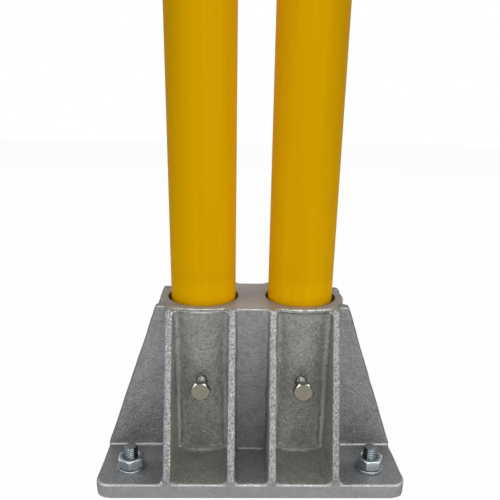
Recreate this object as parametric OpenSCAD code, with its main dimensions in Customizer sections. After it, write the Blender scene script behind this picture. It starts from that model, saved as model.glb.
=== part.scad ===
/* Twin post foot of a steel guard rail.
   A ribbed sand casting stands on the floor and carries two round posts side by side.
   The origin is the centre of the casting's underside. +X runs from the left post to the
   right one, +Y runs away from the set bolts, and +Z is up. */

/* [Posts] */
// Outside diameter of a post with its coating
post_d = 48.9; // [40:0.1:58]
// Wall thickness of a post with its coating
post_wall = 3.5; // [2:0.1:6]
// Distance between the centres of the two posts
post_spacing = 74; // [72:0.5:95]
// Height of the capped top of a post above the floor
post_top_z = 440; // [200:5:1100]

/* [Post caps] */
// Thickness of a cap's head
cap_head_t = 3; // [2:0.5:6]
// Length of a cap's plug inside the post
cap_plug_l = 16; // [8:1:30]
// Wall thickness of a cap's plug
cap_plug_wall = 2; // [1.5:0.5:4]
// Play between a cap's plug and the inside of the post
cap_clear = 0.15; // [0.05:0.05:0.4]
// Size of the slope around the top of a cap's head
cap_crown = 1; // [0.2:0.1:1.8]
// Size of the slope around the lower end of a cap's plug
cap_lead = 1; // [0.2:0.1:1.4]

/* [Base plate] */
// Width of the base plate, across the posts
plate_w = 220; // [200:1:280]
// Depth of the base plate, front to back
plate_d = 150; // [130:1:200]
// Thickness of the base plate
plate_t = 11; // [8:0.5:16]
// Radius of the plate's upright corners
plate_corner_r = 9.5; // [5:0.5:12]
// Radius of the plate's upper edge
plate_edge_r = 1.2; // [0.5:0.1:2.5]

/* [Sockets] */
// Height of the machined deck above the floor
casting_h = 127; // [100:1:180]
// Radial play between a post and its socket
socket_clear = 2.05; // [1:0.05:4]
// Wall thickness of a socket
socket_wall = 6.2; // [5:0.1:9]
// Thickness of the ledge under a post
socket_floor_t = 6; // [4:0.5:8]
// Diameter of the drain hole below a post
drain_d = 40; // [20:1:44]
// Height of the rim below the deck
rim_h = 2.8; // [2:0.2:8]
// How far the rim stands proud of the socket wall at its foremost line
rim_proud = 1.1; // [0.3:0.1:1.6]
// Radius of the rim's front and rear edges, seen from above
rim_edge_r = 60; // [50:1:120]
// How far the web between the sockets stands back from their foremost line
web_inset = 1.3; // [0.4:0.1:6]
// Gap between a post and the wall that it is pushed against
post_seat_clear = 0.1; // [0.05:0.05:0.3]

/* [Ribs] */
// Thickness of a rib
rib_t = 5.1; // [4:0.1:8]
// Distance from a socket's centre to the near side of a rib
rib_offset = 19.9; // [18:0.1:22]
// How far a rib reaches past the socket wall at the deck
rib_deck_reach = 2.3; // [1.7:0.1:6]
// Height of a rib's upright toe above the plate
rib_toe_h = 3.8; // [2:0.2:8]
// Radius of the long edges of a rib's nose
rib_nose_r = 1.2; // [0.5:0.1:2]

/* [Wings] */
// Thickness of a wing
wing_t = 7; // [5:0.5:10]
// Distance between the outer faces of the front and rear wings
wing_span = 51.4; // [42:0.2:56]
// How far a wing's top lies below the deck
wing_drop = 0.7; // [0.3:0.1:6]
// How far a wing's top reaches past the socket's outermost point
wing_top_reach = 0.5; // [-3:0.1:5]
// Radius of a wing's top corner
wing_corner_r = 2; // [1:0.5:6]
// Height of a wing's upright toe above the plate
wing_toe_h = 2; // [1:0.5:6]

/* [Fillets] */
// Radius of the upright fillets in the pockets
pocket_fillet_r = 4; // [2:0.5:6]
// Radius of the fillets where ribs and sockets stand on the plate
foot_fillet_r = 4; // [2:0.5:6]
// Radius of the fillets where the wings and the web stand on the plate
wall_fillet_r = 1.8; // [1:0.1:5]

/* [Set bolts] */
// Thread diameter of a set bolt
bolt_d = 8; // [6:1:10]
// Play between the set bolt and its tapped hole, on the radius
bolt_clear = 0.1; // [0.05:0.05:0.3]
// Size of the bolt's head across its flats
bolt_af = 13; // [10:0.5:17]
// Height of the bolt's head
bolt_head_h = 5.3; // [4:0.1:7]
// Length of bare shank between the socket wall and the head
bolt_stand_off = 10.8; // [6:0.2:18]
// Height of the bolt above the floor
bolt_z = 69.5; // [50:0.5:90]
// Gap between the bolt's point and the post
bolt_point_clear = 0.1; // [0.05:0.05:0.3]
// Size of the slope around the bolt's point
bolt_point_cham = 1; // [0.4:0.1:2]

/* [Anchors] */
// Thread diameter of an anchor
anchor_d = 10; // [8:1:12]
// Distance from an anchor's centre to the plate's left or right edge
anchor_edge_x = 22.5; // [18:0.5:24]
// Distance from an anchor's centre to the plate's front or rear edge
anchor_edge_y = 21.3; // [18:0.1:24]
// How far an anchor's top stands above its nut
anchor_stick_out = 7.4; // [2:0.2:20]
// Whole length of an anchor
anchor_l = 90; // [80:1:130]
// How far an anchor's thread reaches below the plate
thread_below = 6; // [1:0.5:10]
// Size of the slope at an anchor's ends
anchor_cham = 1.1; // [0.4:0.1:1.6]
// Height of an anchor's expansion cone
cone_h = 7; // [4:0.5:9]
// Height of the plain foot below the cone
cone_foot_h = 4; // [2:0.5:6]
// Radial play of an anchor in the plate's hole
anchor_hole_clear = 0.75; // [0.4:0.05:1.5]
// Diameter of the plain shank below the thread
shank_d = 9.1; // [7:0.1:9.4]
// Diameter of the neck that carries the expansion clip
neck_d = 7.9; // [6:0.1:8.2]
// Length of the expansion clip
clip_l = 17; // [12:0.5:20]
// Outside diameter of the expansion clip
clip_d = 9.9; // [9.5:0.1:10]
// Width of a slot in the expansion clip
clip_slot_w = 1.4; // [1:0.1:2]
// Length of the clip's two short slots
clip_slot_l = 11; // [6:0.5:11.5]
// Play around the clip on the anchor's neck
clip_clear = 0.1; // [0.05:0.05:0.2]
// Outside diameter of a washer
washer_d = 20; // [18:0.5:24]
// Thickness of a washer
washer_t = 2; // [1.5:0.1:3]
// Radial play between an anchor and its washer
washer_clear = 0.25; // [0.1:0.05:0.6]
// Size of a nut across its flats
nut_af = 17; // [15:0.5:19]
// Height of a nut
nut_h = 8; // [6:0.1:10]
// Play between an anchor's thread and its nut, on the radius
nut_clear = 0.05; // [0.03:0.01:0.1]
// Depth of the countersink at each end of a nut's thread
nut_sink = 1.2; // [0.2:0.1:1.8]
// Turn of the left-hand nuts about the upright
nut_turn_left = 32; // [0:1:60]
// Turn of the right-hand nuts about the upright
nut_turn_right = 5; // [0:1:60]

/* [Hidden] */
$fn = 64;

// Signs of the two sides: left and right, front and rear.
LEFT = -1;
RIGHT = 1;
FRONT = -1;
REAR = 1;
SIDES = [-1, 1];

// A cut that opens a face runs past it by this much.
past = 1;
// Each casting wall starts this far inside the plate, so that the two are one solid.
root = 3;
// A fillet reaches this far into the faces that it joins.
overlap = 0.4;
// The round end face of a hexagon covers this share of the size across its flats.
hex_face_share = 0.95;

post_r = post_d / 2;
socket_x = post_spacing / 2;
socket_r = post_r + socket_clear;
socket_wall_r = socket_r + socket_wall;
rim_r = socket_wall_r + rim_proud;
web_y = socket_wall_r - web_inset;
// The set bolt pushes the post against the rear of its socket.
post_y = socket_clear - post_seat_clear;

// Near side of each rib from the middle of the casting outwards.
rib_inner_x = socket_x - rib_offset - rib_t;
rib_outer_x = socket_x + rib_offset;
rib_deck_y = socket_wall_r + rib_deck_reach;
rib_toe_z = plate_t + rib_toe_h;
rib_run = plate_d / 2 - rib_deck_y;
rib_rise = casting_h - rib_toe_z;
rib_lean = atan2(rib_run, rib_rise);
rib_slope_l = norm([rib_run, rib_rise]);
// The fillet between the web and a rib stays behind the rib's nose at the deck.
web_corner_r = min(pocket_fillet_r, rib_deck_y - web_y);
// So does the fillet between a rim and a rib, which ends on the rib's side at this depth at most.
rim_edge_y = rim_r - rim_edge_r;
rim_end_y = rib_deck_y - rib_nose_r - rim_edge_y;
rim_end_r = (pow(rim_end_y, 2) - pow(rim_edge_r, 2) + pow(rib_offset, 2)) / (rim_edge_r + rib_offset) / 2;
rim_corner_r = min(pocket_fillet_r, rim_end_r);

wing_out_y = wing_span / 2;
wing_in_y = wing_out_y - wing_t;
wing_top_z = casting_h - wing_drop;
wing_top_x = socket_x + socket_wall_r + wing_top_reach;

// Levels along an anchor, all of them heights above the floor.
washer_z = plate_t;
nut_z = washer_z + washer_t;
anchor_top_z = nut_z + nut_h + anchor_stick_out;
anchor_foot_z = anchor_top_z - anchor_l;
cone_end_z = anchor_foot_z + cone_foot_h;
cone_start_z = cone_end_z + cone_h;
clip_z = cone_start_z + clip_clear;
neck_top_z = clip_z + clip_l + clip_clear;

anchor_r = anchor_d / 2;
anchor_x = plate_w / 2 - anchor_edge_x;
anchor_y = plate_d / 2 - anchor_edge_y;

// A rectangle about the origin with four round corners.
module rounded_rect(w, d, r) {
    square([w - 2 * r, d], center = true);
    square([w, d - 2 * r], center = true);
    for (x = SIDES, y = SIDES)
        translate([x * (w / 2 - r), y * (d / 2 - r)]) circle(r);
}

// A fillet's section in the corner between a wall at x = 0 and a floor at y = 0.
module fillet_corner(r) {
    difference() {
        translate([-overlap, -overlap]) square(r + overlap);
        translate([r, r]) circle(r);
    }
}

// A quarter disc in the first quadrant.
module quarter_disc(r) {
    intersection() {
        circle(r);
        square(r);
    }
}

// The fillet between a disc about the origin and a wall at y = wall_y, right of the disc.
module disc_wall_fillet(disc_r, wall_y, r) {
    mid = [sqrt(pow(disc_r + r, 2) - pow(wall_y - r, 2)), wall_y - r];
    on_disc = mid * disc_r / (disc_r + r);
    meet_x = sqrt(pow(disc_r, 2) - pow(wall_y, 2));
    difference() {
        polygon([
            on_disc,
            mid,
            [mid[0], wall_y + overlap],
            [meet_x - overlap, wall_y + overlap],
            [meet_x - overlap, wall_y - overlap]
        ]);
        translate(mid) circle(r);
    }
}

// A plate about the origin with round corners and a round upper edge.
module edged_plate(w, d, t, corner_r, edge_r) {
    flat_r = corner_r - edge_r;
    linear_extrude(t - edge_r) rounded_rect(w, d, corner_r);
    linear_extrude(t) rounded_rect(w - 2 * edge_r, d - 2 * edge_r, flat_r);
    translate([0, 0, t - edge_r]) {
        for (x = SIDES, y = SIDES)
            translate([x * (w / 2 - corner_r), y * (d / 2 - corner_r), 0])
                rotate((y > 0 ? (x > 0 ? 0 : 90) : (x > 0 ? 270 : 180)))
                    rotate_extrude(angle = 90)
                        translate([flat_r, 0]) quarter_disc(edge_r);
        for (side = [0, 180]) {
            rotate(side) translate([w / 2 - edge_r, d / 2 - corner_r, 0])
                rotate([90, 0, 0]) linear_extrude(d - 2 * corner_r) quarter_disc(edge_r);
            rotate(side) translate([corner_r - w / 2, d / 2 - edge_r, 0])
                rotate([90, 0, 90]) linear_extrude(w - 2 * corner_r) quarter_disc(edge_r);
        }
    }
}

// Draws its children four times: right and left, rear and front.
module four_ways() {
    for (x = [0, 1], y = [0, 1])
        mirror([x, 0, 0]) mirror([0, y, 0]) children();
}

// Plan of the sockets, the web between the inner ribs and the upright fillets beside the ribs.
module socket_plan() {
    square([2 * rib_inner_x + rib_t, 2 * web_y], center = true);
    for (x = SIDES) translate([x * socket_x, 0]) circle(socket_wall_r);
    four_ways() {
        translate([socket_x, 0]) for (turn = [0, 1])
            mirror([turn, 0]) rotate(90) mirror([0, 1])
                disc_wall_fillet(socket_wall_r, rib_offset, pocket_fillet_r);
        translate([rib_inner_x, web_y]) mirror([1, 0]) fillet_corner(web_corner_r);
    }
}

// Plan of a rim. It runs from rib to rib, with a front and a rear edge of one radius.
module rim_plan() {
    intersection() {
        translate([0, rim_edge_y]) circle(rim_edge_r);
        translate([0, -rim_edge_y]) circle(rim_edge_r);
        square([2 * rib_offset + rib_t, 2 * rim_r], center = true);
    }
    for (turn = [0, 1], end = [0, 1])
        mirror([turn, 0]) mirror([0, end]) translate([0, rim_edge_y]) rotate(90) mirror([0, 1])
            disc_wall_fillet(rim_edge_r, rib_offset, rim_corner_r);
}

// A rim seen from the front: a band under the deck with a fillet below each end.
module rim_face() {
    translate([-rib_offset - rib_t / 2, casting_h - rim_h]) square([2 * rib_offset + rib_t, rim_h]);
    for (turn = [0, 1])
        mirror([turn, 0]) translate([-rib_offset, casting_h - rim_h]) mirror([0, 1])
            fillet_corner(rim_corner_r);
}

// One rim, about the middle of its socket.
module rim() {
    reach = rib_deck_y;
    intersection() {
        linear_extrude(casting_h) rim_plan();
        translate([0, reach, 0]) rotate([90, 0, 0]) linear_extrude(2 * reach) rim_face();
    }
}

// One rib, front or rear, whose near side lies at x. Its nose leans back from the toe to the deck.
module rib(x) {
    side = [
        [0, plate_t - root],
        [plate_d / 2, plate_t - root],
        [plate_d / 2, rib_toe_z],
        [rib_deck_y, casting_h],
        [0, casting_h]
    ];
    reach = plate_d / 2;
    // The bar that shapes the nose runs past the toe and past the deck by these lengths.
    below = 40;
    above = 30;
    intersection() {
        translate([x, 0, 0]) rotate([90, 0, 90]) linear_extrude(rib_t) polygon(side);
        translate([x + rib_t / 2, rib_deck_y, casting_h]) rotate([rib_lean, 0, 0])
            translate([0, 0, -rib_slope_l - below]) linear_extrude(rib_slope_l + below + above) union() {
                translate([-rib_t / 2, -2 * reach]) square([rib_t, 2 * reach - rib_nose_r]);
                for (s = SIDES)
                    translate([s * (rib_t / 2 - rib_nose_r), -rib_nose_r]) circle(rib_nose_r);
                translate([rib_nose_r - rib_t / 2, -2 * reach])
                    square([rib_t - 2 * rib_nose_r, 2 * reach]);
            }
    }
}

// Outline of a wing seen from the front: it slopes from the socket's side to the plate's edge.
module wing_face() {
    toe = [plate_w / 2, plate_t + wing_toe_h];
    top = [wing_top_x, wing_top_z];
    lean = atan2(toe[0] - top[0], top[1] - toe[1]);
    // The corner's centre lies one radius below the top and one inside the slope.
    mid = top - wing_corner_r * [tan(45 - lean / 2), 1];
    polygon([
        [socket_x, plate_t - root],
        [plate_w / 2, plate_t - root],
        toe,
        mid + wing_corner_r * [cos(lean), sin(lean)],
        mid,
        [mid[0], wing_top_z],
        [socket_x, wing_top_z]
    ]);
    translate(mid) circle(wing_corner_r);
}

// Plan of a wing with its upright fillets beside the socket and the outer rib.
module wing_plan() {
    translate([socket_x, wing_in_y]) square([plate_w / 2 - socket_x, wing_t]);
    translate([socket_x, 0]) disc_wall_fillet(socket_wall_r, wing_in_y, pocket_fillet_r);
    translate([rib_outer_x + rib_t, wing_out_y]) fillet_corner(pocket_fillet_r);
}

// One wing, right rear, with the fillets that belong to it.
module wing() {
    intersection() {
        linear_extrude(casting_h) wing_plan();
        translate([0, plate_d / 2, 0]) rotate([90, 0, 0]) linear_extrude(plate_d / 2) wing_face();
    }
}

// Fillet along one side of a rib's foot, from the plate's edge inwards.
module rib_foot_fillet() {
    rotate([90, 0, 0]) linear_extrude(plate_d / 2 - plate_edge_r - wing_in_y)
        fillet_corner(foot_fillet_r);
}

// Fillet along one face of a wing's foot, from the outer rib to the plate's edge.
module wing_foot_fillet() {
    rotate([90, 0, 90]) linear_extrude(plate_w / 2 - plate_edge_r - rib_outer_x)
        fillet_corner(wall_fillet_r);
}

// Fillets where the ribs, sockets, wings and web stand on the plate.
module foot_fillets() {
    for (x = SIDES) translate([x * socket_x, 0, 0])
        rotate_extrude() translate([socket_wall_r, 0]) fillet_corner(foot_fillet_r);
    four_ways() {
        for (near = [rib_inner_x, rib_outer_x]) translate([near, plate_d / 2 - plate_edge_r, 0]) {
            translate([rib_t, 0, 0]) rib_foot_fillet();
            mirror([1, 0, 0]) rib_foot_fillet();
        }
        translate([rib_outer_x, wing_out_y, 0]) wing_foot_fillet();
        translate([rib_outer_x, wing_in_y, 0]) mirror([0, 1, 0]) wing_foot_fillet();
    }
    for (y = [0, 1]) mirror([0, y, 0])
        translate([-rib_inner_x, web_y, 0]) rotate([90, 0, 90])
            linear_extrude(2 * rib_inner_x) fillet_corner(wall_fillet_r);
}

// The one-piece casting: plate, sockets, web, ribs and wings, bored and drilled.
module base_casting() {
    color([0.56, 0.56, 0.55]) difference() {
        union() {
            edged_plate(plate_w, plate_d, plate_t, plate_corner_r, plate_edge_r);
            translate([0, 0, plate_t - root]) linear_extrude(casting_h - plate_t + root) socket_plan();
            for (x = SIDES) translate([x * socket_x, 0, 0]) rim();
            four_ways() rib(rib_inner_x);
            four_ways() {
                rib(rib_outer_x);
                wing();
            }
            translate([0, 0, plate_t]) foot_fillets();
        }
        for (x = SIDES) {
            translate([x * socket_x, 0, socket_floor_t]) cylinder(r = socket_r, h = casting_h);
            translate([x * socket_x, 0, -past]) cylinder(d = drain_d, h = casting_h);
            translate([x * socket_x, 0, bolt_z]) rotate([90, 0, 0])
                cylinder(d = bolt_d + 2 * bolt_clear, h = rim_r + past);
            for (y = SIDES)
                at_anchor(x, y) translate([0, 0, -past])
                    cylinder(r = anchor_r + anchor_hole_clear, h = plate_t + 2 * past);
        }
    }
}

// One painted steel tube, standing on its socket's ledge.
module post(side) {
    color([0.80, 0.60, 0.02]) translate([side * socket_x, post_y, socket_floor_t])
        linear_extrude(post_top_z - cap_head_t - socket_floor_t) difference() {
            circle(post_r);
            circle(post_r - post_wall);
        }
}

// Plain plug that closes a post's top.
module post_cap(side) {
    plug_r = post_r - post_wall - cap_clear;
    color([0.80, 0.60, 0.02]) translate([side * socket_x, post_y, post_top_z - cap_head_t])
        rotate_extrude() polygon([
            [0, cap_head_t],
            [0, 0],
            [plug_r - cap_plug_wall, 0],
            [plug_r - cap_plug_wall, -cap_plug_l],
            [plug_r - cap_lead, -cap_plug_l],
            [plug_r, cap_lead - cap_plug_l],
            [plug_r, 0],
            [post_r, 0],
            [post_r, cap_head_t - cap_crown],
            [post_r - cap_crown, cap_head_t]
        ]);
}

// A hexagon prism about +Z with its corners turned off at the ends that are named.
module hex_blank(af, h, low, high) {
    corner_r = af / 2 / cos(30);
    // The chamfer cone meets the end face just inside the flats and falls away at 30 degrees.
    face_r = af / 2 * hex_face_share;
    out_r = corner_r + past;
    drop = (out_r - face_r) * tan(30);
    intersection() {
        cylinder(r = corner_r, h = h, $fn = 6);
        rotate_extrude() polygon(concat(
            [[0, 0]],
            low ? [[face_r, 0], [out_r, drop]] : [[out_r, 0]],
            high ? [[out_r, h - drop], [face_r, h]] : [[out_r, h]],
            [[0, h]]
        ));
    }
}

// Hex set bolt that clamps a post from the front: head, shank and blunt point.
module set_bolt(side) {
    head_y = -(socket_wall_r + bolt_stand_off);
    point_y = post_y - post_r - bolt_point_clear;
    shank_l = point_y - head_y;
    bolt_r = bolt_d / 2;
    color([0.74, 0.74, 0.72]) translate([side * socket_x, head_y, bolt_z]) {
        rotate([90, 0, 0]) hex_blank(bolt_af, bolt_head_h, false, true);
        rotate([-90, 0, 0]) rotate_extrude() polygon([
            [0, -past],
            [bolt_r, -past],
            [bolt_r, shank_l - bolt_point_cham],
            [bolt_r - bolt_point_cham, shank_l],
            [0, shank_l]
        ]);
    }
}

// Moves a fastener to its place in the anchor pattern.
module at_anchor(x, y) {
    translate([x * anchor_x, y * anchor_y, 0]) children();
}

// Wedge anchor: threaded stud, plain shank, neck for the clip and expansion cone.
module anchor_stud(x, y) {
    shank_r = shank_d / 2;
    neck_r = neck_d / 2;
    cone_r = clip_d / 2;
    color([0.66, 0.69, 0.72]) at_anchor(x, y) rotate_extrude() polygon([
        [0, anchor_foot_z],
        [cone_r - anchor_cham, anchor_foot_z],
        [cone_r, anchor_foot_z + anchor_cham],
        [cone_r, cone_end_z],
        [neck_r, cone_start_z],
        [neck_r, neck_top_z],
        [shank_r, neck_top_z],
        [shank_r, shank_r - anchor_r - thread_below],
        [anchor_r, -thread_below],
        [anchor_r, anchor_top_z - anchor_cham],
        [anchor_r - anchor_cham, anchor_top_z],
        [0, anchor_top_z]
    ]);
}

// Expansion clip around the anchor's neck: a split sleeve with slots towards the cone.
module anchor_clip(x, y) {
    color([0.62, 0.63, 0.62]) at_anchor(x, y) translate([0, 0, clip_z]) difference() {
        cylinder(d = clip_d, h = clip_l);
        translate([0, 0, -past]) cylinder(r = neck_d / 2 + clip_clear, h = clip_l + 2 * past);
        for (turn = [0, 120, 240])
            rotate(turn) translate([0, -clip_slot_w / 2, -past])
                cube([clip_d, clip_slot_w, past + (turn == 0 ? clip_l + past : clip_slot_l)]);
    }
}

// Plain washer on the plate.
module washer(x, y) {
    color([0.70, 0.72, 0.74]) at_anchor(x, y) translate([0, 0, washer_z]) difference() {
        cylinder(d = washer_d, h = washer_t);
        translate([0, 0, -past]) cylinder(r = anchor_r + washer_clear, h = washer_t + 2 * past);
    }
}

// Hexagon nut with a countersunk thread at each end.
module nut(x, y) {
    bore_r = anchor_r + nut_clear;
    color([0.66, 0.69, 0.72]) at_anchor(x, y) translate([0, 0, nut_z])
        rotate(x < 0 ? nut_turn_left : nut_turn_right) difference() {
            hex_blank(nut_af, nut_h, true, true);
            rotate_extrude() polygon([
                [0, -past],
                [bore_r + nut_sink + past, -past],
                [bore_r, nut_sink],
                [bore_r, nut_h - nut_sink],
                [bore_r + nut_sink + past, nut_h + past],
                [0, nut_h + past]
            ]);
        }
}

base_casting();
post(LEFT);  // post_left
post(RIGHT);  // post_right
post_cap(LEFT);  // post_cap_left
post_cap(RIGHT);  // post_cap_right
set_bolt(LEFT);  // set_bolt_left
set_bolt(RIGHT);  // set_bolt_right
anchor_stud(LEFT, FRONT);  // anchor_stud_front_left
anchor_stud(RIGHT, FRONT);  // anchor_stud_front_right
anchor_stud(LEFT, REAR);  // anchor_stud_rear_left
anchor_stud(RIGHT, REAR);  // anchor_stud_rear_right
anchor_clip(LEFT, FRONT);  // anchor_clip_front_left
anchor_clip(RIGHT, FRONT);  // anchor_clip_front_right
anchor_clip(LEFT, REAR);  // anchor_clip_rear_left
anchor_clip(RIGHT, REAR);  // anchor_clip_rear_right
washer(LEFT, FRONT);  // washer_front_left
washer(RIGHT, FRONT);  // washer_front_right
washer(LEFT, REAR);  // washer_rear_left
washer(RIGHT, REAR);  // washer_rear_right
nut(LEFT, FRONT);  // nut_front_left
nut(RIGHT, FRONT);  // nut_front_right
nut(LEFT, REAR);  // nut_rear_left
nut(RIGHT, REAR);  // nut_rear_right
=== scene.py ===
"""Looks of the twin post foot of a guard rail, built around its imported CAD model.

Lengths that have a name in capitals are in millimetres. Everything that Blender gets is in metres.
"""

import math

import bmesh
import bpy
import numpy as np
from mathutils import Matrix, Vector
from mathutils.bvhtree import BVHTree
from mathutils.kdtree import KDTree


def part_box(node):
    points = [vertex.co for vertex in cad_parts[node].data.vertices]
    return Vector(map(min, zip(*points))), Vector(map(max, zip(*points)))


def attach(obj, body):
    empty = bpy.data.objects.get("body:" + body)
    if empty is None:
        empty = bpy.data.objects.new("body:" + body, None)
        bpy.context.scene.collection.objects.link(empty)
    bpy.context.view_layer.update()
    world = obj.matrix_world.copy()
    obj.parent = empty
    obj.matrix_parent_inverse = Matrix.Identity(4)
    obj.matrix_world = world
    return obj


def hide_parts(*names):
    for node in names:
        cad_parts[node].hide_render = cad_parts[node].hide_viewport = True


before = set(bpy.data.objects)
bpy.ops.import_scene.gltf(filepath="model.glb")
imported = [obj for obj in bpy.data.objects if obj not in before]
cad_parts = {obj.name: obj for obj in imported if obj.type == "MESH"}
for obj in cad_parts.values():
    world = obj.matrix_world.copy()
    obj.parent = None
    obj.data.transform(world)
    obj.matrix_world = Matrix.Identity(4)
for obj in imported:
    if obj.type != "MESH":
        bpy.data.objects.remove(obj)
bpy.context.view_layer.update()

MM = 0.001
SIDES = {"left": -1, "right": 1}
CORNERS = {"front_left": (-1, -1), "front_right": (1, -1), "rear_left": (-1, 1), "rear_right": (1, 1)}


def node_size(node):
    """A CAD node's lowest corner, highest corner and centre, in millimetres."""
    low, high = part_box(node)
    return [[round(v / MM, 2) for v in point] for point in (low, high, (low + high) / 2)]


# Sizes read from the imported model.
_, (HALF_WIDTH, HALF_DEPTH, DECK_Z), _ = node_size("base_casting")
(_, _, PLATE_T), (_, _, NUT_Z), (ANCHOR_X, ANCHOR_Y, _) = node_size("washer_rear_right")
NUT_H = node_size("nut_rear_right")[1][2] - NUT_Z
(_, _, ANCHOR_FOOT_Z), (_, _, ANCHOR_TOP_Z), _ = node_size("anchor_stud_rear_right")
_, (POST_EDGE_X, _, POST_TOP_Z), (SOCKET_X, POST_Y, _) = node_size("post_cap_right")
POST_R = round(POST_EDGE_X - SOCKET_X, 2)
LEDGE_Z = node_size("post_right")[0][2]
(_, BOLT_FRONT_Y, _), (_, BOLT_POINT_Y, _), (_, _, BOLT_Z) = node_size("set_bolt_right")

# Sizes shared with the CAD model that the boxes of its nodes don't show.
RIM_H = 2.8
SOCKET_R = 26.5
POST_WALL = 3.5
RIB_NEAR = (12.0, 56.9)
RIB_T = 5.1
RIB_DECK_Y = 35.0
RIB_TOE_Z = 14.8
WING_TOP_X = 70.2
WING_TOP_Z = 126.3
WING_TOE_Z = 13.0
# The faces of the pockets and of the web between the sockets all lie further out than this.
WALL_FROM_Y = 12
# How far past its edge a point still counts as on a face.
SLACK = 0.6

# Standard sizes of the M10 anchors and the M8 set bolts.
STUD_R = 5.0
STUD_NECK_R = 3.95
STUD_SHANK_R = 4.55
STUD_CONE_R = 4.95
STUD_PITCH = 1.5
STUD_THREAD_DEPTH = 0.78
NUT_FLATS = 17.0
NUT_BORE_R = 5.05
NUT_FACE_R = 8.07
NUT_SINK = 1.2
WASHER_R = 10.0
WASHER_HOLE_R = 5.25
BOLT_FLATS = 13.0
BOLT_FACE_R = 6.2
BOLT_HEAD_H = 5.3
BOLT_R = 4.0
BOLT_PITCH = 1.25
BOLT_THREAD_DEPTH = 0.62
HEX_CHAMFER = math.tan(math.radians(30))

# How the nuts and the studs' threads happen to be turned, in degrees and in turns.
NUT_TURN = {"front_left": 32, "front_right": 5, "rear_left": 32, "rear_right": 5}
THREAD_PHASE = {"front_left": 0.15, "front_right": 0.6, "rear_left": 0.35, "rear_right": 0.8}

# How bright the set bolts' chamfers are painted, with painted glints and painted shade, judged at each angle
# in degrees, seen from the front and counted anticlockwise from the right.
CHAMFER_PAINTED_SHEEN = (
    (-90, 0.22), (-20, 0.25), (12, 0.27), (25, 0.10), (42, 0.03), (50, 0.35), (58, 0.55), (68, 0.30),
    (80, 0.05), (108, 0.05), (116, 0.60), (127, 0.95), (138, 0.80), (148, 0.30), (160, 0.20), (180, 0.25))

# Edges that fold by more than this many degrees are shaded sharp.
ROUND_FOLD = 50
CAP_FOLD = 40
HEX_FOLD = 28

# How finely the casting's skin is made.
VOXEL = 0.75
CASTING_TRIANGLES = 190000
SOFTEN_STEPS = 4
CREST_STEPS = 3
BEND_STEPS = 14
SWAY_SEED = 7

# The range in which nearly all values of a noise texture lie.
NOISE_RANGE = (0.3, 0.7)
# How white the floor shows, how strongly the world lights the object, and the point that the lamps
# are turned to, in metres.
FLOOR_WHITE = 0.96
WORLD_FILL = 0.42
LAMP_AIM = (0, 0, 0.12)


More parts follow.
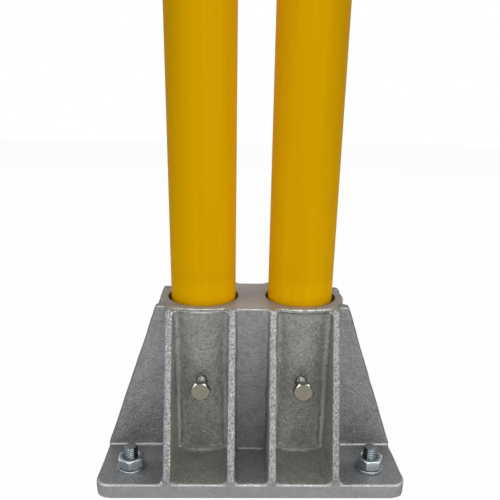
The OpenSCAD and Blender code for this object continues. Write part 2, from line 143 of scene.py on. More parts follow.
# Materials.
class Graph:
    """Short names for the nodes that the materials are made of."""

    def __init__(self, tree):
        self.tree = tree
        self.coords = self.node("ShaderNodeTexCoord").outputs["Object"]

    def node(self, kind):
        return self.tree.nodes.new(kind)

    def link(self, a, b):
        self.tree.links.new(a, b)

    def put(self, value, socket):
        if isinstance(value, bpy.types.NodeSocket):
            self.link(value, socket)
        else:
            socket.default_value = value

    def math(self, op, a, b=0.0):
        n = self.node("ShaderNodeMath")
        n.operation = op
        self.put(a, n.inputs[0])
        self.put(b, n.inputs[1])
        return n.outputs[0]

    def plus(self, a, b):
        return self.math("ADD", a, b)

    def times(self, a, b):
        return self.math("MULTIPLY", a, b)

    def rest_of(self, a):
        """1 minus a value."""
        return self.math("SUBTRACT", 1.0, a)

    def highest(self, a, b):
        return self.math("MAXIMUM", a, b)

    def stretched(self, sx, sy, sz):
        n = self.node("ShaderNodeMapping")
        n.inputs["Scale"].default_value = (sx, sy, sz)
        self.link(self.coords, n.inputs["Vector"])
        return n.outputs[0]

    def noise(self, scale, detail=2.0, rough=0.5, vector=None, distortion=0.0):
        n = self.node("ShaderNodeTexNoise")
        n.inputs["Scale"].default_value = scale
        n.inputs["Detail"].default_value = detail
        n.inputs["Roughness"].default_value = rough
        n.inputs["Distortion"].default_value = distortion
        self.link(vector or self.coords, n.inputs["Vector"])
        return n.outputs["Fac"]

    def remap(self, value, a, b, c, d):
        """The range from a to b of a value, stretched to run from c to d."""
        n = self.node("ShaderNodeMapRange")
        self.link(value, n.inputs["Value"])
        for k, v in zip(("From Min", "From Max", "To Min", "To Max"), (a, b, c, d)):
            n.inputs[k].default_value = v
        return n.outputs["Result"]

    def spread(self, noise, low, high):
        """A noise stretched to run from low to high."""
        return self.remap(noise, *NOISE_RANGE, low, high)

    def mix(self, fac, a, b, blend="MIX"):
        n = self.node("ShaderNodeMix")
        n.data_type, n.blend_type = "RGBA", blend
        self.put(fac, n.inputs["Factor"])
        self.put(a, n.inputs[6])
        self.put(b, n.inputs[7])
        return n.outputs[2]

    def attribute(self, name):
        n = self.node("ShaderNodeAttribute")
        n.attribute_name = name
        return n.outputs["Fac"]

    def part_of(self, vector, which):
        """The x, y or z part of a vector, as which is 0, 1 or 2."""
        n = self.node("ShaderNodeSeparateXYZ")
        self.link(vector, n.inputs[0])
        return n.outputs[which]

    def axis(self, which):
        return self.part_of(self.coords, which)

    def grey(self, value):
        n = self.node("ShaderNodeCombineColor")
        for k in range(3):
            self.link(value, n.inputs[k])
        return n.outputs[0]

    def shaded(self, colour, share):
        """A colour made darker or lighter by a share, where 1 leaves it as it is."""
        return self.mix(1.0, colour, self.grey(share), "MULTIPLY")

    def bump(self, height, distance, strength=1.0, before=None):
        n = self.node("ShaderNodeBump")
        n.inputs["Distance"].default_value = distance
        n.inputs["Strength"].default_value = strength
        self.link(height, n.inputs["Height"])
        if before:
            self.link(before, n.inputs["Normal"])
        return n.outputs["Normal"]

    def shown(self):
        """1 for the rays that show a background: the camera's, and those off or through the object."""
        path = self.node("ShaderNodeLightPath")
        direct = self.highest(path.outputs["Is Camera Ray"], path.outputs["Is Glossy Ray"])
        return self.highest(direct, path.outputs["Is Transmission Ray"])

    def blend_surfaces(self, fac, a, b, out):
        n = self.node("ShaderNodeMixShader")
        self.link(fac, n.inputs[0])
        self.link(a.outputs[0], n.inputs[1])
        self.link(b.outputs[0], n.inputs[2])
        self.link(n.outputs[0], out.inputs["Surface"])


def new_material(name):
    mat = bpy.data.materials.new(name)
    mat.use_nodes = True
    mat.node_tree.nodes.clear()
    g = Graph(mat.node_tree)
    bsdf = g.node("ShaderNodeBsdfPrincipled")
    g.link(bsdf.outputs[0], g.node("ShaderNodeOutputMaterial").inputs["Surface"])
    return mat, g, bsdf


def cast_material():
    """Sand-cast aluminium: grainy and matt, with painted highlights on its edges and creases and painted
    light and shade on its faces, and milled where it was machined.
    """
    mat, g, bsdf = new_material("cast_aluminium")
    machined, edge, crest, nose = (g.attribute(name) for name in ("machined", "edge", "crest", "nose"))
    pocket, side, outline, level = (g.attribute(name) for name in ("pocket", "side", "outline", "level"))
    broad = g.noise(28.0, 3.0, 0.55)
    patch = g.noise(160.0, 3.0, 0.6)
    grain = g.noise(640.0, 2.0, 0.6)
    speck = g.noise(1050.0, 1.0, 0.5)
    wrinkle = g.noise(520.0, 2.0, 0.6, vector=g.stretched(1.0, 1.0, 0.5), distortion=1.2)
    ripple = g.noise(430.0, 2.0, 0.55, distortion=0.6)
    swirl = g.noise(90.0, 2.0, 0.5, vector=g.stretched(0.25, 1.0, 1.0))
    lines = g.noise(1400.0, 1.0, 0.5, vector=g.stretched(0.02, 1.0, 1.0))

    # The grain of the sand is smoother on the plate's sides and rougher in the pockets.
    grit = g.plus(g.spread(grain, -0.13, 0.13), g.spread(wrinkle, -0.16, 0.16))
    grit = g.times(grit, g.rest_of(g.times(side, 0.65)))
    grit = g.times(grit, g.remap(pocket, 0.0, 1.0, 1.0, 1.35))
    tone = g.plus(g.plus(g.spread(broad, 0.95, 1.05), g.spread(patch, -0.05, 0.05)), grit)
    # The ribs' noses are speckled with grain and painted glints, the other edges and the creases at the feet
    # get painted highlights, and the hollows and the outlines get painted shade.
    lift = g.times(nose, g.remap(speck, 0.35, 0.65, -0.36, 0.60))
    kept = g.highest(g.highest(outline, g.times(side, 0.9)), g.times(nose, 0.75))
    painted_highlight = g.times(g.remap(crest, 0.25, 0.7, 0.0, 1.0), g.spread(speck, 0.3, 1.6))
    painted_highlight = g.times(painted_highlight, g.rest_of(kept))
    painted_shade = g.times(g.remap(edge, -0.75, -0.1, 0.80, 1.0), g.remap(outline, 0.0, 1.0, 1.0, 0.55))
    tone = g.times(g.plus(g.plus(tone, lift), painted_highlight), painted_shade)
    # The pockets' skin is a little greener, and lighter as painted light in their shade.
    skin = g.mix(pocket, (0.268, 0.268, 0.271, 1), (0.300, 0.305, 0.283, 1))
    cast = g.shaded(skin, g.times(tone, level))
    milled = g.mix(g.spread(swirl, 0.0, 1.0), (0.285, 0.262, 0.238, 1), (0.325, 0.300, 0.274, 1))
    milled = g.shaded(milled, g.times(level, g.spread(grain, 0.86, 1.14)))
    g.link(g.mix(machined, cast, milled), bsdf.inputs["Base Color"])

    g.link(g.rest_of(g.times(machined, 0.6)), bsdf.inputs["Metallic"])
    bsdf.inputs["Specular Tint"].default_value = (0.5, 0.5, 0.5, 1)
    rough = g.math("SUBTRACT", g.spread(grain, 0.50, 0.66), g.times(machined, 0.11))
    g.link(rough, bsdf.inputs["Roughness"])
    height = g.plus(g.times(grain, 1.2), g.times(ripple, 1.3))
    fine = g.bump(g.times(height, g.rest_of(machined)), 0.0003, 0.9)
    fine = g.bump(g.times(lines, machined), 0.00002, 0.5, fine)
    g.link(fine, bsdf.inputs["Normal"])
    return mat


def paint_material(name, colour, deep, rough):
    """Satin safety-yellow paint with faint drawn streaks down the tube."""
    mat, g, bsdf = new_material(name)
    streak = g.noise(420.0, 2.0, 0.5, vector=g.stretched(1.0, 1.0, 0.012))
    broad = g.noise(60.0, 2.0, 0.5, vector=g.stretched(1.0, 1.0, 0.08))
    peel = g.noise(650.0, 2.0, 0.5, vector=g.stretched(1.0, 1.0, 0.5))
    tone = g.plus(g.times(streak, 0.5), g.times(broad, 0.5))
    paint = g.mix(g.remap(tone, 0.35, 0.65, 0.0, 1.0), deep, colour)
    # Painted light and shade: the posts' facing sides and their feet are painted lighter, as the light the
    # posts throw on each other, and their outer sides and upper parts are painted a little darker.
    out, up = g.math("ABSOLUTE", g.axis(0)), g.axis(2)
    inner = g.remap(out, 12.6 * MM, 28 * MM, 1.22, 1.0)
    outer = g.times(g.remap(out, 40 * MM, 61.4 * MM, 0.0, 1.0), g.remap(up, 150 * MM, 320 * MM, 0.04, 0.18))
    share = g.times(inner, g.rest_of(outer))
    share = g.times(share, g.remap(up, 150 * MM, 320 * MM, 1.04, 0.96))
    share = g.times(share, g.remap(up, 127.5 * MM, 146 * MM, 1.25, 1.0))
    g.link(g.shaded(paint, share), bsdf.inputs["Base Color"])
    bsdf.inputs["Metallic"].default_value = 0.05
    bsdf.inputs["IOR"].default_value = 1.1
    bsdf.inputs["Specular IOR Level"].default_value = 0.1
    bsdf.inputs["Specular Tint"].default_value = (1.0, 0.7, 0.02, 1)
    g.link(g.spread(broad, rough - 0.04, rough + 0.05), bsdf.inputs["Roughness"])
    g.link(g.bump(g.plus(peel, g.times(streak, 0.8)), 0.00003, 0.5), bsdf.inputs["Normal"])
    return mat


def metal_material(name, colour, dull, rough, top=(1, 1, 1, 1), brush=(1.0, 1.0, 1.0), shank=None,
                   scratches=0.45, dark_sides=0.0, top_from=None):
    """Plated steel: a clear metal with a little clouding, finest scratches, and faces on top that are rougher
    and painted darker by the top colour, as shade.

    shank is the colour of a set bolt's thread, whose chamfer also gets painted glints and painted shade;
    dark_sides the share of the colour that a painted shade leaves on the faces turned to the left and right,
    while the faces turned to the front and back are painted up to a quarter lighter as glints; and top_from
    the height from which upward faces count as on top."""
    mat, g, bsdf = new_material(name)
    cloud = g.noise(260.0, 3.0, 0.6)
    scratch = g.noise(2600.0, 2.0, 0.6, vector=g.stretched(*brush))
    plate = g.mix(g.spread(cloud, 0.0, 1.0), dull, colour)
    if shank:
        plate = g.mix(g.attribute("shank"), plate, shank)
        # Painted glints and painted shade on the chamfer, by its angle.
        plate = g.mix(g.attribute("chamfer"), plate, g.grey(g.attribute("sheen")))
    normal = g.node("ShaderNodeNewGeometry").outputs["Normal"]
    # Faces on top are painted darker by the top colour, as shade.
    painted_top_shade = g.mix(1.0, plate, top, "MULTIPLY")
    # Painted shade on the faces turned to the left and right, and painted glints on those turned to the front
    # and back.
    if dark_sides:
        ahead = g.math("ABSOLUTE", g.part_of(normal, 1))
        plate = g.shaded(plate, g.remap(ahead, 0.55, 0.95, dark_sides, 1.25))
    on_top = g.remap(g.part_of(normal, 2), 0.75, 0.97, 0.0, 1.0)
    if top_from:
        on_top = g.times(on_top, g.remap(g.axis(2), top_from - 0.2 * MM, top_from, 0.0, 1.0))
    g.link(g.mix(on_top, plate, painted_top_shade), bsdf.inputs["Base Color"])
    bsdf.inputs["Metallic"].default_value = 1.0
    clouded = g.plus(g.spread(cloud, rough + 0.06, rough - 0.03), g.spread(scratch, -0.05, 0.05))
    g.link(g.highest(clouded, g.times(on_top, 0.5)), bsdf.inputs["Roughness"])
    g.link(g.bump(scratch, 0.00003, scratches), bsdf.inputs["Normal"])
    return mat


def floor_material():
    """A pale studio floor that shows white and keeps part of the object's shadow."""
    mat, g, bsdf = new_material("studio_floor")
    bsdf.inputs["Base Color"].default_value = (0.92, 0.92, 0.92, 1)
    bsdf.inputs["Roughness"].default_value = 0.9
    bsdf.inputs["Specular IOR Level"].default_value = 0.0
    white = g.node("ShaderNodeEmission")
    white.inputs["Color"].default_value = (1, 1, 1, 1)
    white.inputs["Strength"].default_value = 1.0
    g.blend_surfaces(g.times(g.shown(), FLOOR_WHITE), bsdf, white, g.tree.nodes["Material Output"])
    return mat


# Mesh helpers.
def finish_piece(name, mesh, material, slot, *replaced):
    """Makes a mesh a piece that rides on the root and stands for CAD nodes."""
    obj = bpy.data.objects.new(name, mesh)
    bpy.context.scene.collection.objects.link(obj)
    mesh.materials.clear()
    mesh.materials.append(material)
    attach(obj, "root")
    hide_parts(*replaced)
    return obj


def new_piece(name, verts, faces, material, slot, *replaced):
    """A piece made of vertices and faces."""
    mesh = bpy.data.meshes.new(name)
    mesh.from_pydata([tuple(v) for v in verts], [], [tuple(f) for f in faces])
    mesh.validate()
    return finish_piece(name, mesh, material, slot, *replaced)


def repair(obj, merge=0.0):
    """Turns all faces outward, after joining points that are closer than merge."""
    bm = bmesh.new()
    bm.from_mesh(obj.data)
    if merge:
        bmesh.ops.remove_doubles(bm, verts=bm.verts, dist=merge)
    bmesh.ops.recalc_face_normals(bm, faces=bm.faces)
    bm.to_mesh(obj.data)
    bm.free()


def shade(obj, fold):
    """Smooth shading, with edges that fold by more than so many degrees kept sharp."""
    mesh = obj.data
    mesh.polygons.foreach_set("use_smooth", [True] * len(mesh.polygons))
    bm = bmesh.new()
    bm.from_mesh(mesh)
    for e in bm.edges:
        if len(e.link_faces) == 2 and e.calc_face_angle(0) > math.radians(fold):
            e.smooth = False
    bm.to_mesh(mesh)
    bm.free()
    mesh.update()


def add_values(mesh, **fields):
    """Gives each point of a mesh a number of each name, for the materials to read."""
    for name, values in fields.items():
        spot = mesh.attributes.new(name, "FLOAT", "POINT")
        spot.data.foreach_set("value", values.astype(np.float32))


def rounded(profile, radius, steps=4):
    """A profile of (r, z) points with the corners between its ends rounded."""
    out = [profile[0]]
    for before, p, after in zip(profile, profile[1:], profile[2:]):
        p = Vector(p)
        u, v = Vector(before) - p, Vector(after) - p
        cut = min(radius, 0.45 * u.length, 0.45 * v.length)
        s, e = p + u.normalized() * cut, p + v.normalized() * cut
        for k in range(steps + 1):
            t = k / steps
            q = s * (1 - t) ** 2 + p * 2 * t * (1 - t) + e * t ** 2
            out.append((q.x, q.y))
    return out + [profile[-1]]


def even_angles(count):
    return [2 * math.pi * k / count for k in range(count)]


def skin(rows, angles, at, axis="z"):
    """Vertices and faces of rows of (place along the axis, a radius for each angle), in millimetres.

    About the y axis the angles run clockwise as seen from the front."""
    count = len(angles)
    verts, faces = [], []
    for along, radii in rows:
        for a, r in zip(angles, radii):
            c, s = r * math.cos(a), r * math.sin(a)
            offset = (c, s, along) if axis == "z" else (c, along, -s)
            verts.append(tuple((centre + d) * MM for centre, d in zip(at, offset)))
    for i in range(len(rows) - 1):
        for k in range(count):
            a, b = i * count + k, i * count + (k + 1) % count
            faces.append((a, b, b + count, a + count))
    return verts, faces


def lathe(profile, count, at):
    """Vertices and faces of a profile of (radius, height) points turned about an upright axis."""
    return skin([(z, [r] * count) for r, z in profile], even_angles(count), at)


def close_ends(verts, faces, count, first=True, last=True):
    """Closes the ends of a skin whose rows have count points, with a fan each."""
    n = len(verts)
    if first:
        verts.append(tuple(np.mean(verts[:count], axis=0)))
        c = len(verts) - 1
        faces += [(c, (k + 1) % count, k) for k in range(count)]
    if last:
        base = n - count
        verts.append(tuple(np.mean(verts[base:n], axis=0)))
        c = len(verts) - 1
        faces += [(c, base + k, base + (k + 1) % count) for k in range(count)]


def thread_radius(turns, outer, depth, crest=0.16, root=0.22):
    """Radius of an ISO-like thread at a place along its pitch, from 0 to 1: crest, flank, root, flank."""
    t = turns % 1.0
    flank = (1 - crest - root) / 2
    if t < crest:
        drop = 0.0
    elif t < crest + flank:
        drop = (t - crest) / flank
    elif t < crest + flank + root:
        drop = 1.0
    else:
        drop = 1.0 - (t - crest - flank - root) / flank
    return outer - depth * drop * drop * (3 - 2 * drop)


def threaded_rows(z0, z1, outer, depth, pitch, count, taper_low, taper_high, phase=0.0, per_pitch=9):
    """Rows of (z, radii) for a helical thread from z0 to z1, tapered at its ends from the given radii."""
    rows = []
    n = max(2, int(round((z1 - z0) / pitch * per_pitch)))
    for i in range(n + 1):
        z = z0 + (z1 - z0) * i / n
        cap = min(taper_low + z - z0, taper_high + z1 - z)
        radii = [thread_radius(z / pitch - k / count + phase, outer, depth) for k in range(count)]
        rows.append((z, [min(r, cap) for r in radii]))
    return rows


def hexagon(flats, corner, per_side=5, per_corner=4):
    """Angles and radii of the points of a hexagon with rounded corners."""
    pts = []
    inner = flats / math.sqrt(3) - corner / math.cos(math.radians(30))
    for k in range(6):
        a, after = math.radians(60 * k), math.radians(60 * (k + 1))
        centre = Vector((inner * math.cos(a), inner * math.sin(a)))
        for j in range(per_corner + 1):
            b = a + math.radians(-30 + 60 * j / per_corner)
            pts.append(centre + corner * Vector((math.cos(b), math.sin(b))))
        start, side = pts[-1], a + math.radians(30)
        end = Vector((inner * math.cos(after), inner * math.sin(after)))
        end += corner * Vector((math.cos(side), math.sin(side)))
        pts += [start.lerp(end, j / per_side) for j in range(1, per_side)]
    return [math.atan2(p.y, p.x) for p in pts], [p.length for p in pts]


# The casting.
def waves(co, rng, count, low, high, total):
    """A smooth random field at the points: a sum of plane waves with lengths from low to high."""
    out = np.zeros(len(co))
    for _ in range(count):
        way = rng.normal(size=3)
        way /= np.linalg.norm(way)
        length = rng.uniform(low, high)
        out += np.sin(co @ way * (2 * math.pi / length) + rng.uniform(0, 2 * math.pi))
    return out * (total / math.sqrt(count / 2))


def neighbour_mean(co, edges, degree):
    """For each point, the mean place of the points that an edge joins to it."""
    out = np.empty_like(co)
    for k in range(3):
        c = co[:, k]
        out[:, k] = np.bincount(edges[:, 0], c[edges[:, 1]], len(co))
        out[:, k] += np.bincount(edges[:, 1], c[edges[:, 0]], len(co))
    return out / degree[:, None]


def smooth(co, edges, degree, steps, weight=1.0):
    """The points after being drawn towards their neighbours, each by its own weight, so many times."""
    weight = np.broadcast_to(weight, len(co))
    for _ in range(steps):
        co = co + 0.5 * weight[:, None] * (neighbour_mean(co, edges, degree) - co)
    return co


def mesh_arrays(mesh):
    """Points, edges and normals of a mesh."""
    co = np.empty(len(mesh.vertices) * 3)
    mesh.vertices.foreach_get("co", co)
    edges = np.empty(len(mesh.edges) * 2, dtype=np.int64)
    mesh.edges.foreach_get("vertices", edges)
    normals = np.empty(len(mesh.vertices) * 3)
    mesh.vertices.foreach_get("normal", normals)
    return co.reshape(-1, 3), edges.reshape(-1, 2), normals.reshape(-1, 3)


def set_points(mesh, co):
    mesh.vertices.foreach_set("co", co.ravel())
    mesh.update()


def in_mm(co):
    """x, y and z of points in millimetres, x and y without their signs, as the quarters are alike."""
    return np.abs(co[:, 0]) / MM, np.abs(co[:, 1]) / MM, co[:, 2] / MM


def ramp(values, none, full):
    """0 on one side of none and 1 on the other side of full, straight in between. full may be the lower."""
    return np.clip((values - none) / (full - none), 0, 1)


def band(values, centre, full, none):
    """1 within full of a centre, 0 beyond none."""
    return ramp(np.abs(values - centre), none, full)


def machined_share(co, normals):
    """1 on the milled deck, in the bored sockets and under the plate, 0 on what is left as cast."""
    x, y, z = in_mm(co)
    deck = (z > DECK_Z - 0.45) & (normals[:, 2] > 0.75)
    bore = (np.hypot(x - SOCKET_X, y) < SOCKET_R + 0.5) & (z > LEDGE_Z - 0.5)
    under = z < 0.3
    return (deck | bore | under).astype(float)


def nose_share(co):
    """1 on the leaning front and rear faces of the ribs."""
    x, y, z = in_mm(co)
    run, rise = HALF_DEPTH - RIB_DECK_Y, DECK_Z - RIB_TOE_Z
    off = ((y - RIB_DECK_Y) * rise + (z - DECK_Z) * run) / math.hypot(run, rise)
    share = np.zeros(len(co))
    for near in RIB_NEAR:
        across = band(x, near + RIB_T / 2, RIB_T / 2 - 0.3, RIB_T / 2 + 0.3)
        share = np.maximum(share, across * ramp(off, -1.3, -0.7) * (z > PLATE_T - 2))
    return share


def outline_share(co):
    """1 along the wings' sloping ends and the plate's left and right edges, which get painted shade and no
    painted highlight.
    """
    x, y, z = in_mm(co)
    slope = WING_TOP_X + (WING_TOP_Z - z) * (HALF_WIDTH - WING_TOP_X) / (WING_TOP_Z - WING_TOE_Z)
    wing = ramp(x - slope, -1.5, -0.7) * (z > WING_TOE_Z) * (y < 27)
    plate = ramp(x - HALF_WIDTH, -1.4, -0.6) * (z < WING_TOE_Z + 1)
    return np.clip(wing + plate, 0, 1)


def pocket_share(co):
    """1 inside the two pockets in front of and behind the sockets, between their ribs."""
    x, y, z = in_mm(co)
    between = (x > RIB_NEAR[0] + RIB_T - SLACK) & (x < RIB_NEAR[1] + SLACK)
    return (between & (y > WALL_FROM_Y) & (y < HALF_DEPTH - 1.2) & (z > PLATE_T - 0.5)).astype(float)


def side_share(co, normals):
    """1 on the plate's upright sides, whose skin is smoother."""
    return ramp(co[:, 2] / MM, PLATE_T - 0.6, PLATE_T - 1.4) * (np.abs(normals[:, 2]) < 0.5)


def foot_share(co, normals):
    """1 along the creases at the wings' feet and the rim's lower edge, where a highlight is painted."""
    x, _, z = in_mm(co)
    up = normals[:, 2]
    on_plate = (x > RIB_NEAR[1] + RIB_T + 1) * (z > PLATE_T - 0.2) * (z < PLATE_T + 2.2)
    foot = 0.75 * band(up, 0.6, 0.0, 0.35) * on_plate
    # The rim's painted highlight runs all across the left pocket, and at its ends only in the right one.
    reach = np.where(co[:, 0] < 0, 1.0, ramp(np.abs(x - SOCKET_X), 9, 15))
    rim = band(z, DECK_Z - RIM_H - 0.15, 0.28, 0.98) * pocket_share(co) * reach
    return np.maximum(foot, rim * (up < 0.5))


def level_share(co, normals):
    """Painted light and shade: how much lighter or darker each face of the casting is painted, as a factor on
    its tone.
    """
    x, y, z = in_mm(co)
    left = co[:, 0] < 0
    across, along, up = np.abs(normals[:, 0]), np.abs(normals[:, 1]), normals[:, 2]
    flat, flank = ramp(up, 0.5, 0.9), ramp(across, 0.2, 1.0)
    low, high = ramp(z, 80, 40), np.exp(-((z - 92) / 13) ** 2)
    crease = band(up, 0.55, 0.0, 0.4) * (z < PLATE_T + 5)
    turned = ramp(across, 0.1, 0.4) * ramp(across, 1.02, 0.67)
    pocket = pocket_share(co)
    middle = (x < RIB_NEAR[0] + SLACK) & (y > WALL_FROM_Y) & (z > PLATE_T - 0.5)
    outside = x > RIB_NEAR[1] + RIB_T - SLACK

    # Painted light and shade in the pockets and between the sockets: lighter on the ribs' sides, in a band
    # high up and on the floors, and darker in the creases at the sockets' feet.
    wall = 0.83 + 0.68 * flank + 0.09 * high + low * (0.5 * turned - 0.05)
    wall = wall * (1 - 0.58 * crease * ramp(np.abs(x - SOCKET_X), 17, 13))
    level = np.where(pocket > 0.5, (1 - flat) * wall + flat * 1.10, 1.0)
    web = 0.89 - 0.05 * low + 0.09 * high + 0.8 * flank
    level = np.where(middle, (1 - flat) * web + flat * 1.17, level)
    # The wings are painted slightly darker, with a painted highlight in the creases at their feet.
    level = np.where(outside & (z > PLATE_T + 0.5), 0.93 + 1.1 * crease, level)

    # Painted highlight on the rim's lower edge under the deck, painted shade on its face on the left, and a
    # painted highlight along the top in the middle.
    under = band(z, DECK_Z - RIM_H - 0.3, 0.32, 1.12) * pocket
    face = band(z, DECK_Z - 1.5, 0.18, 0.78) * pocket * left
    brow = band(z, DECK_Z - 0.8, 0.3, 0.9) * middle
    level = level * (1 + under * np.where(left, 1.5, 0.3)) * (1 - 0.3 * face) * (1 + 0.5 * brow)
    # Painted shade: the noses of the outer ribs and of the right half are a little darker.
    dim = np.where(x > 50, 0.12 + 0.05 * low, 0.06) + np.where(left, 0, 0.045)
    level = level * (1 - nose_share(co) * dim)

    # Painted light and shade on the plate's top outside the wings: lighter inward, darker towards its outer
    # corners.
    inward = ramp(x, 88, 76) * ramp(y, 54, 44)
    level = np.where(outside & (z <= PLATE_T + 0.5), 0.85 + 0.43 * inward, level)
    # Painted light and shade on the deck: lighter along its front and back edges, darker in the middle and at
    # its ends.
    deck = (1.0 + 0.25 * ramp(y, 26, 28)) * (1 - 0.14 * ramp(x, 16, 10))
    level = np.where(z > DECK_Z - 0.5, np.where(x > 60, 0.76, deck), level)
    # Painted light: the plate's front and back faces are painted a little lighter.
    return np.where((z < PLATE_T - 0.3) & (along > 0.7), 1.07, level)


def with_modifier(helper, kind, **settings):
    """The mesh of an object as one modifier leaves it."""
    modifier = helper.modifiers.new(kind, kind)
    for name, value in settings.items():
        setattr(modifier, name, value)
    deps = bpy.context.evaluated_depsgraph_get()
    mesh = bpy.data.meshes.new_from_object(helper.evaluated_get(deps))
    helper.modifiers.clear()
    return mesh


def build_casting(material):
    """The casting's skin: its CAD mesh remeshed, softened at the edges, made slightly wavy and thinned."""
    bm = bmesh.new()
    bm.from_mesh(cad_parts["base_casting"].data)
    bmesh.ops.remove_doubles(bm, verts=bm.verts, dist=1e-6)
    exact = BVHTree.FromBMesh(bm)
    plain = bpy.data.meshes.new("casting_plain")
    bm.to_mesh(plain)
    bm.free()
    helper = bpy.data.objects.new("casting_helper", plain)
    bpy.context.scene.collection.objects.link(helper)
    dense = with_modifier(helper, "REMESH", mode="VOXEL", voxel_size=VOXEL * MM)

    co, edges, _ = mesh_arrays(dense)
    for i, c in enumerate(co):
        co[i] = exact.find_nearest(c)[0]
    set_points(dense, co)
    _, _, normals = mesh_arrays(dense)
    degree = np.bincount(edges.ravel(), minlength=len(co)).astype(float)
    as_cast = 1.0 - machined_share(co, normals)
    cast = smooth(co, edges, degree, SOFTEN_STEPS, 0.45 + 0.55 * as_cast)
    bend = np.einsum("ij,ij->i", cast - smooth(cast, edges, degree, BEND_STEPS), normals) / (0.55 * MM)
    crest = np.einsum("ij,ij->i", cast - smooth(cast, edges, degree, CREST_STEPS), normals) / (0.16 * MM)
    rng = np.random.default_rng(SWAY_SEED)
    sway = waves(cast, rng, 26, 14 * MM, 60 * MM, 0.11 * MM)
    sway += waves(cast, rng, 30, 5 * MM, 12 * MM, 0.035 * MM)
    cast = cast + normals * (sway * as_cast)[:, None]
    limit = np.array([HALF_WIDTH, HALF_DEPTH, DECK_Z]) * MM
    cast = np.clip(cast, limit * (-1, -1, 0), limit)
    set_points(dense, cast)

    helper.data = dense
    triangles = sum(len(p.vertices) - 2 for p in dense.polygons)
    final = with_modifier(helper, "DECIMATE", ratio=min(1.0, CASTING_TRIANGLES / triangles))
    bpy.data.objects.remove(helper)
    final.name = "cast_base"

    near = KDTree(len(cast))
    for i, c in enumerate(cast):
        near.insert(c, i)
    near.balance()
    co, _, normals = mesh_arrays(final)
    picked = np.array([near.find(c)[1] for c in co])
    add_values(
        final,
        edge=np.clip(bend[picked], -1, 1),
        crest=np.clip(crest[picked] + foot_share(co, normals), 0, 1),
        machined=machined_share(co, normals),
        nose=nose_share(co),
        pocket=pocket_share(co),
        level=level_share(co, normals),
        side=side_share(co, normals),
        outline=outline_share(co),
    )
    finish_piece("cast_base", final, material, "cast_aluminium", "base_casting")
    final.polygons.foreach_set("use_smooth", [True] * len(final.polygons))


# The fasteners and the posts' caps.
def anchor_place(corner, height=0.0):
    sx, sy = CORNERS[corner]
    return sx * ANCHOR_X, sy * ANCHOR_Y, height


def build_stud(corner, material):
    """Wedge anchor: cone and neck for the clip, plain shank, thread and a chamfered end."""
    count = 48
    foot, cone_end, cone_start = ANCHOR_FOOT_Z, ANCHOR_FOOT_Z + 4, ANCHOR_FOOT_Z + 11
    neck_top, thread_end, top = cone_start + 17.2, -6.0, ANCHOR_TOP_Z
    profile = rounded([
        (0.01, foot), (3.85, foot), (STUD_CONE_R, foot + 1.1), (STUD_CONE_R, cone_end),
        (STUD_NECK_R, cone_start), (STUD_NECK_R, neck_top), (STUD_SHANK_R, neck_top),
        (STUD_SHANK_R, thread_end - 0.45)], radius=0.3)
    rows = [(z, [r] * count) for r, z in profile]
    rows += threaded_rows(thread_end, top - 0.25, STUD_R, STUD_THREAD_DEPTH, STUD_PITCH, count,
                          STUD_SHANK_R, 4.45, THREAD_PHASE[corner])
    rows += [(z, [r] * count) for r, z in ((4.35, top - 0.1), (4.15, top), (2.1, top))]
    verts, faces = skin(rows, even_angles(count), anchor_place(corner))
    close_ends(verts, faces, count)
    obj = new_piece("stud_" + corner, verts, faces, material, "zinc_blue", "anchor_stud_" + corner)
    shade(obj, ROUND_FOLD)


def build_washer(corner, material):
    """Plain washer with slightly rounded edges."""
    low, high, seam = PLATE_T, NUT_Z, (7.0, NUT_Z)
    ring = [(WASHER_HOLE_R, high), (WASHER_HOLE_R, low), (WASHER_R, low), (WASHER_R, high)]
    profile = rounded([seam, *ring, seam], radius=0.35)
    verts, faces = lathe(profile, count=72, at=anchor_place(corner))
    faces = [tuple(reversed(f)) for f in faces]
    obj = new_piece("washer_ring_" + corner, verts, faces, material, "zinc_blue", "washer_" + corner)
    repair(obj, merge=1e-7)
    shade(obj, ROUND_FOLD)


def build_nut(corner, material):
    """Hexagon nut: both ends chamfered, the bore countersunk."""
    angles, radii = hexagon(NUT_FLATS, corner=0.45)

    def outer(z):
        cap = NUT_FACE_R + min(z, NUT_H - z) / HEX_CHAMFER
        return [min(r, cap) for r in radii]

    def ring(r):
        return [r] * len(radii)

    end = [(NUT_H / 2, NUT_BORE_R), (NUT_SINK, NUT_BORE_R), (0.12, NUT_BORE_R + NUT_SINK - 0.12),
           (0.0, NUT_BORE_R + NUT_SINK + 0.1), (0.0, NUT_FACE_R - 0.15)]
    rows = [(z, ring(r)) for z, r in end]
    bevel = (0.05, 0.2, 0.4, 0.6, 0.8, 1.0, 1.2, 1.4, 2.0)
    heights = (*bevel, NUT_H / 2, *(NUT_H - z for z in reversed(bevel)))
    rows += [(z, outer(z)) for z in heights]
    rows += [(NUT_H - z, ring(r)) for z, r in reversed(end)]
    turn = math.radians(NUT_TURN[corner])
    verts, faces = skin(rows, [a + turn for a in angles], anchor_place(corner, NUT_Z))
    obj = new_piece("hex_nut_" + corner, verts, faces, material, "zinc_blue", "nut_" + corner)
    repair(obj, merge=1e-7)
    shade(obj, HEX_FOLD)


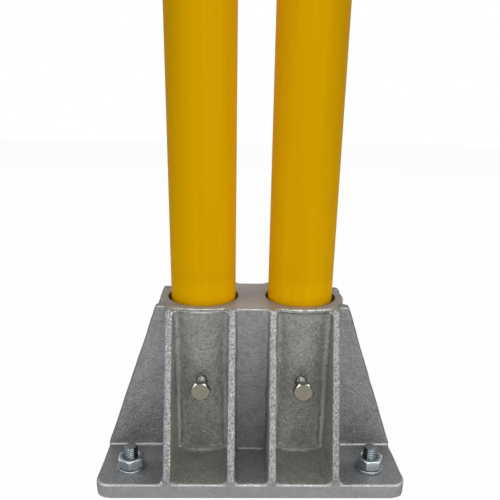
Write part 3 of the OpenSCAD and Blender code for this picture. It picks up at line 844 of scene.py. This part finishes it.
def build_set_bolt(side, material):
    """Set bolt: chamfered hexagon head, threaded shank through the socket wall."""
    s = SIDES[side]
    at = (s * SOCKET_X, 0, BOLT_Z)
    angles, radii = hexagon(BOLT_FLATS, corner=0.5)
    n = len(angles)
    seat_y = BOLT_FRONT_Y + BOLT_HEAD_H
    rows = [(BOLT_FRONT_Y, [0.6 * BOLT_FACE_R] * n), (BOLT_FRONT_Y, [BOLT_FACE_R - 0.2] * n)]
    for d in (0.06, 0.2, 0.4, 0.6, 0.8, 1.0, 1.3, 2.2, 3.5, 4.6, 5.0, 5.2):
        cap = min(BOLT_FACE_R + d / HEX_CHAMFER, 6.45 + (BOLT_HEAD_H - d) / HEX_CHAMFER)
        rows.append((BOLT_FRONT_Y + d, [min(r, cap) for r in radii]))
    rows += [(seat_y, [6.3] * n), (seat_y, [4.1] * n)]
    verts, faces = skin(rows, angles, at, "y")
    close_ends(verts, faces, n, last=False)

    count = 44
    rows = threaded_rows(seat_y, BOLT_POINT_Y, BOLT_R, BOLT_THREAD_DEPTH, BOLT_PITCH, count,
                         3.7, 3.0, 0.3 * (1 + s))
    shank_verts, shank_faces = skin(rows, even_angles(count), at, "y")
    close_ends(shank_verts, shank_faces, count)
    head = len(verts)
    verts += shank_verts
    faces += [tuple(i + head for i in f) for f in shank_faces]
    obj = new_piece("set_bolt_detail_" + side, verts, faces, material, "zinc_warm", "set_bolt_" + side)
    repair(obj)
    depth = np.array(verts)[:, 1] / MM - BOLT_FRONT_Y
    turn = [math.degrees(math.atan2(v[2] - at[2] * MM, v[0] - at[0] * MM)) for v in verts]
    add_values(
        obj.data,
        shank=np.arange(len(verts)) >= head,
        chamfer=(depth > 0.03) & (depth < 1.1),
        sheen=np.interp(turn, *zip(*CHAMFER_PAINTED_SHEEN), period=360),
    )
    shade(obj, HEX_FOLD)


def build_cap(side, material):
    """Moulded plug: a slightly domed head with a rounded rim, and a hollow plug inside the post."""
    at = (SIDES[side] * SOCKET_X, POST_Y, 0)
    plug = POST_R - POST_WALL - 0.15
    # Radius of each corner and its depth below the top, from the middle outward and back in below the head.
    corners = (
        (0.01, 0.05), (14.0, 0.3), (20.0, 0.6), (22.8, 0.95), (24.0, 1.6), (POST_R, 2.3), (POST_R, 3.0),
        (plug, 3.0), (plug, 17.5), (plug - 1.0, 19.0), (plug - 2.0, 19.0), (plug - 2.0, 3.4), (0.01, 3.4))
    profile = rounded([(r, POST_TOP_Z - d) for r, d in corners], radius=0.5)
    verts, faces = lathe(profile, count=96, at=at)
    obj = new_piece("post_plug_" + side, verts, faces, material, "yellow_plastic", "post_cap_" + side)
    repair(obj, merge=2e-5)
    shade(obj, CAP_FOLD)


# The stage.
def add_camera():
    """The photograph's camera, found by fitting the model's own corners to the picture."""
    place = Vector((-11.167, -384.575, 250.98)) * MM
    yaw, tilt, roll = (math.radians(a) for a in (1.455, 18.182, -1.013))
    # The focal length and the height of the picture's centre are in pixels of its 500.
    focal, picture, centre_y = 526.593, 500.0, 297.861
    ahead = Vector((math.sin(yaw) * math.cos(tilt), math.cos(yaw) * math.cos(tilt), -math.sin(tilt)))
    right = Vector((math.cos(yaw), -math.sin(yaw), 0))
    down = ahead.cross(right)
    across = right * math.cos(roll) + down * math.sin(roll)
    below = down * math.cos(roll) - right * math.sin(roll)
    data = bpy.data.cameras.new("camera")
    data.sensor_fit = "HORIZONTAL"
    data.sensor_width = 36.0
    data.lens = focal / picture * data.sensor_width
    data.shift_y = (centre_y - picture / 2) / picture
    data.clip_start = 0.02
    data.clip_end = 50.0
    cam = bpy.data.objects.new("camera", data)
    cam.matrix_world = Matrix((across, -below, -ahead)).transposed().to_4x4()
    cam.location = place
    bpy.context.scene.collection.objects.link(cam)
    bpy.context.scene.camera = cam


def area_light(name, place, size, power):
    """A rectangular lamp at a place, turned towards LAMP_AIM."""
    data = bpy.data.lights.new(name, "AREA")
    data.shape = "RECTANGLE"
    data.size, data.size_y = size
    data.energy = power
    lamp = bpy.data.objects.new(name, data)
    lamp.location = place
    lamp.rotation_mode = "QUATERNION"
    lamp.rotation_quaternion = (Vector(LAMP_AIM) - Vector(place)).to_track_quat("-Z", "Y")
    bpy.context.scene.collection.objects.link(lamp)
    return lamp


def add_world():
    """A world that shows as white and lights the object more softly."""
    world = bpy.data.worlds.new("studio")
    bpy.context.scene.world = world
    world.use_nodes = True
    world.node_tree.nodes.clear()
    g = Graph(world.node_tree)
    skies = []
    for strength in (WORLD_FILL, 1.0):
        sky = g.node("ShaderNodeBackground")
        sky.inputs["Color"].default_value = (1, 1, 1, 1)
        sky.inputs["Strength"].default_value = strength
        skies.append(sky)
    g.blend_surfaces(g.shown(), *skies, g.node("ShaderNodeOutputWorld"))


def add_stage():
    """Floor, lamps and world."""
    bm = bmesh.new()
    bmesh.ops.create_grid(bm, x_segments=2, y_segments=2, size=8.0)
    mesh = bpy.data.meshes.new("studio_floor")
    bm.to_mesh(mesh)
    bm.free()
    floor = bpy.data.objects.new("studio_floor", mesh)
    floor.location = (0, 0, -0.1 * MM)
    mesh.materials.append(floor_material())
    bpy.context.scene.collection.objects.link(floor)
    # The side boxes show as soft streaks in the metal and add nothing to the paint.
    for side, sign in SIDES.items():
        box = area_light("softbox_" + side, (0.95 * sign, -1.15, 0.85), size=(0.24, 0.8), power=3.4)
        box.visible_diffuse = False
    # The wraps and the rear box light only the paint, round the posts' sides and backs.
    for side, sign in SIDES.items():
        wrap = area_light("wrap_" + side, (1.15 * sign, -0.95, 0.5), size=(0.7, 1.0), power=4.4)
        wrap.visible_glossy = False
    rear = area_light("rear", (0.0, 2.6, 1.3), size=(2.0, 1.0), power=15.0)
    rear.visible_glossy = False
    area_light("front", (0.45, -2.7, 1.6), size=(2.2, 1.1), power=36.0)
    area_light("overhead", (0.0, -0.1, 1.7), size=(1.2, 0.9), power=1.6)
    add_world()


bpy.context.scene.view_settings.view_transform = "Standard"
add_camera()
cast = cast_material()
yellow = paint_material("yellow_paint", (0.555, 0.297, 0.0008, 1), (0.525, 0.272, 0.0006, 1), rough=0.42)
plastic = paint_material("yellow_plastic", (0.545, 0.295, 0.002, 1), (0.51, 0.267, 0.0015, 1), rough=0.45)
zinc_blue = metal_material("zinc_blue", (0.61, 0.685, 0.73, 1), (0.515, 0.58, 0.62, 1), rough=0.28,
                           top=(0.38, 0.36, 0.34, 1))
zinc_stud = metal_material("zinc_stud", (0.42, 0.485, 0.525, 1), (0.33, 0.38, 0.42, 1), rough=0.11,
                           top=(0.49, 0.435, 0.40, 1), scratches=0.10, dark_sides=0.22,
                           top_from=(ANCHOR_TOP_Z - 0.05) * MM)
zinc_warm = metal_material("zinc_warm", (0.262, 0.248, 0.198, 1), (0.225, 0.21, 0.168, 1), rough=0.25,
                           brush=(1.0, 0.1, 1.0), shank=(0.13, 0.142, 0.132, 1))
clip_steel = metal_material("clip_steel", (0.36, 0.37, 0.36, 1), (0.27, 0.28, 0.27, 1), rough=0.32)

build_casting(cast)
for corner in CORNERS:
    build_stud(corner, zinc_stud)
    build_washer(corner, zinc_blue)
    build_nut(corner, zinc_blue)
for side in SIDES:
    build_set_bolt(side, zinc_warm)
    build_cap(side, plastic)

# The CAD nodes that stay as they are get a finish only.
finishes = {"post_" + side: yellow for side in SIDES}
finishes.update({"anchor_clip_" + corner: clip_steel for corner in CORNERS})
for name, finish in finishes.items():
    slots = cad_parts[name].data.materials
    slots.clear()
    slots.append(finish)

add_stage()
